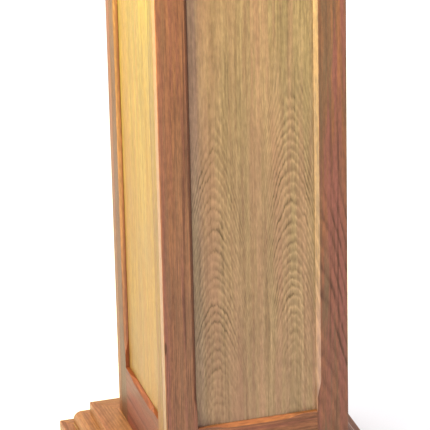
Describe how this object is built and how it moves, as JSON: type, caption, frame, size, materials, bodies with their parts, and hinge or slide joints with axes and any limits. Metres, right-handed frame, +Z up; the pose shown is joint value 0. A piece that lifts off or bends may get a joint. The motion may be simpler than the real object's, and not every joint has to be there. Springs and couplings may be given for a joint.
{
  "type": "display plinth",
  "caption": "Square frame-and-panel wooden display plinth: recessed panels in chamfered frames, stepped base, moulded cap with a flat top, and levelling feet.",
  "frame": {"origin": "centre of the square footprint, on the floor", "axes": "+Z up, the front face looks along -Y, +X is to the right of someone facing the front"},
  "size_m": [0.475, 0.475, 1.143],
  "materials": {
    "oak_frame": "satin varnished oak, straight grain",
    "oak_panel": "satin varnished plain-sliced oak",
    "oak_base": "satin varnished oak mouldings and boards",
    "inner_timber": "bare planed softwood",
    "plywood": "bare birch plywood",
    "zinc_steel": "zinc-plated steel",
    "brass": "turned brass"
  },
  "bodies": {
    "plinth": {"back_panel": "oak_panel", "back_rail_bottom": "oak_frame", "back_rail_top": "oak_frame", "back_stile_left": "oak_frame", "back_stile_right": "oak_frame", "base_board": "plywood", "base_moulding_back": "oak_base", "base_moulding_front": "oak_base", "base_moulding_left": "oak_base", "base_moulding_right": "oak_base", "base_step_back": "oak_base", "base_step_front": "oak_base", "base_step_left": "oak_base", "base_step_right": "oak_base", "cap_moulding_back": "oak_base", "cap_moulding_front": "oak_base", "cap_moulding_left": "oak_base", "cap_moulding_right": "oak_base", "column_ceiling": "plywood", "column_floor": "plywood", "column_screw_back": "zinc_steel", "column_screw_front": "zinc_steel", "column_screw_left": "zinc_steel", "column_screw_right": "zinc_steel", "corner_block_back_left": "inner_timber", "corner_block_back_right": "inner_timber", "corner_block_front_left": "inner_timber", "corner_block_front_right": "inner_timber", "foot_insert_back_left": "brass", "foot_insert_back_right": "brass", "foot_insert_front_left": "brass", "foot_insert_front_right": "brass", "front_panel": "oak_panel", "front_rail_bottom": "oak_frame", "front_rail_top": "oak_frame", "front_stile_left": "oak_frame", "front_stile_right": "oak_frame", "glue_post_back_left": "inner_timber", "glue_post_back_right": "inner_timber", "glue_post_front_left": "inner_timber", "glue_post_front_right": "inner_timber", "left_panel": "oak_panel", "left_rail_bottom": "oak_frame", "left_rail_top": "oak_frame", "left_stile_left": "oak_frame", "left_stile_right": "oak_frame", "plinth_board_back": "oak_base", "plinth_board_front": "oak_base", "plinth_board_left": "oak_base", "plinth_board_right": "oak_base", "right_panel": "oak_panel", "right_rail_bottom": "oak_frame", "right_rail_top": "oak_frame", "right_stile_left": "oak_frame", "right_stile_right": "oak_frame", "top_board": "oak_base"},
    "foot_front_left": {"levelling_foot_front_left": "zinc_steel"},
    "foot_front_right": {"levelling_foot_front_right": "zinc_steel"},
    "foot_back_right": {"levelling_foot_back_right": "zinc_steel"},
    "foot_back_left": {"levelling_foot_back_left": "zinc_steel"}
  },
  "joints": [
    {"name": "foot_front_left_height", "type": "slide", "parent": "plinth", "child": "foot_front_left", "axis": [0, 0, -1], "range_m": [0, 0.01]},
    {"name": "foot_front_right_height", "type": "slide", "parent": "plinth", "child": "foot_front_right", "axis": [0, 0, -1], "range_m": [0, 0.01]},
    {"name": "foot_back_right_height", "type": "slide", "parent": "plinth", "child": "foot_back_right", "axis": [0, 0, -1], "range_m": [0, 0.01]},
    {"name": "foot_back_left_height", "type": "slide", "parent": "plinth", "child": "foot_back_left", "axis": [0, 0, -1], "range_m": [0, 0.01]}
  ]
}
